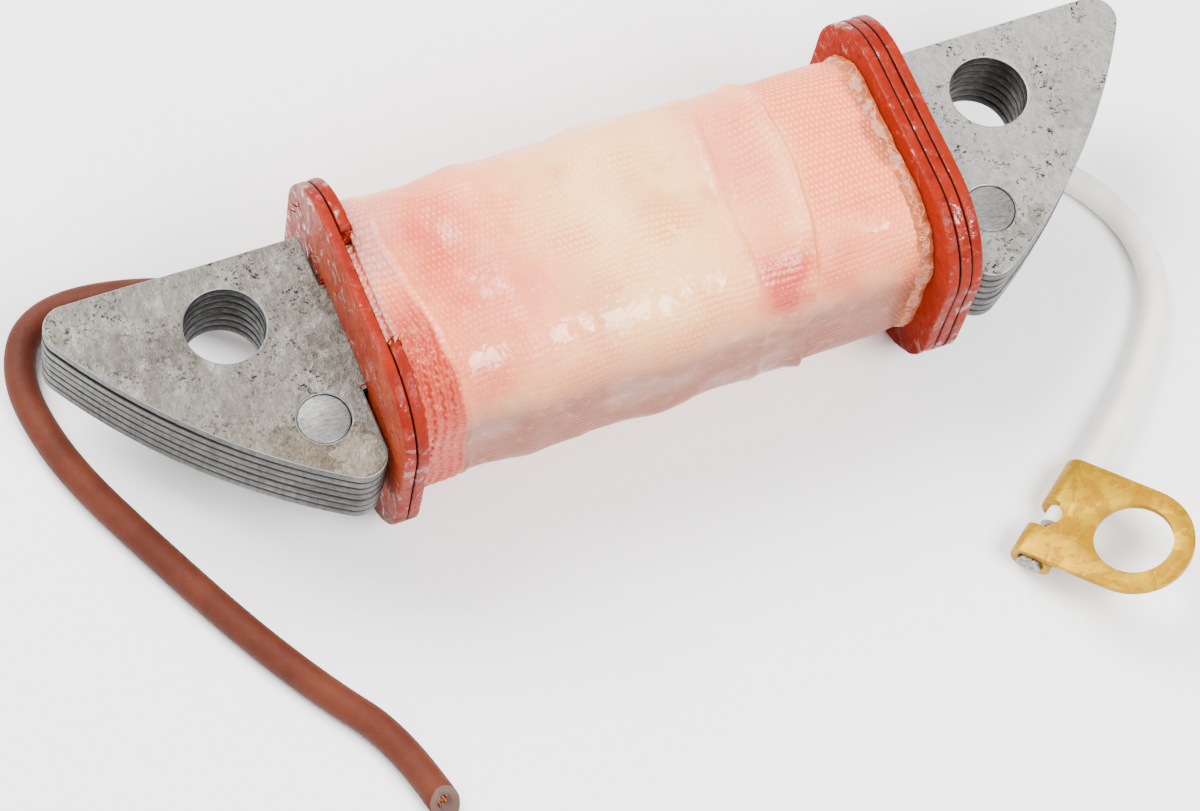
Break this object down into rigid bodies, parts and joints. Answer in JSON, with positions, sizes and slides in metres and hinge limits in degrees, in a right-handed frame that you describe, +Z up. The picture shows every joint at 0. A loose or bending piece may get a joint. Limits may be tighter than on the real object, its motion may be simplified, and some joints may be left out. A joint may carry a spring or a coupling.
{
  "type": "ignition coil",
  "caption": "Small engine ignition coil: laminated steel core with curved pole shoes, red fibre flanges, cloth taped winding, a brown lead and a white lead with a ring terminal.",
  "frame": {"origin": "on the surface that the coil rests on, below the middle of the core's limb", "axes": "+X along the limb towards the white lead, +Z up out of the laminations' faces; the curved pole faces look towards -Y"},
  "size_m": [0.0959, 0.0558, 0.0226],
  "materials": {
    "core_steel": "thin varnish over bare electrical steel, stained in places",
    "rivet_steel": "flush ground heads under the same varnish",
    "red_fibre": "vulcanised fibre, glossy where the varnish lies, frayed at cut edges",
    "insulating_paper": "plain brown insulating paper",
    "enamelled_wire": "enamelled copper wire",
    "cloth_tape": "woven cloth tape under glossy clear varnish",
    "brown_insulation": "matt extruded insulation",
    "bare_strands": "bare copper strands",
    "white_insulation": "matt extruded insulation",
    "tinned_strands": "tinned strands",
    "splice_sleeving": "varnished glass sleeving",
    "solder": "soft solder",
    "brass": "brass sheet with amber tarnish"
  },
  "bodies": {
    "root": {"lamination_1": "core_steel", "lamination_2": "core_steel", "lamination_3": "core_steel", "lamination_4": "core_steel", "lamination_5": "core_steel", "lamination_6": "core_steel", "lamination_7": "core_steel", "rivet_left": "rivet_steel", "rivet_right": "rivet_steel", "left_flange_outer": "red_fibre", "left_flange_inner": "red_fibre", "right_flange_inner": "red_fibre", "right_flange_middle": "red_fibre", "right_flange_outer": "red_fibre", "limb_sleeve": "insulating_paper", "copper_winding": "enamelled_wire", "insulation_film": "insulating_paper", "cloth_tape": "cloth_tape", "brown_lead": "brown_insulation", "brown_lead_strands": "bare_strands", "white_lead": "white_insulation", "white_lead_strands": "tinned_strands", "brown_splice_sleeve": "splice_sleeving", "white_splice_sleeve": "splice_sleeving", "brown_solder_joint": "solder", "white_solder_joint": "solder", "ring_terminal": "brass"}
  },
  "joints": []
}
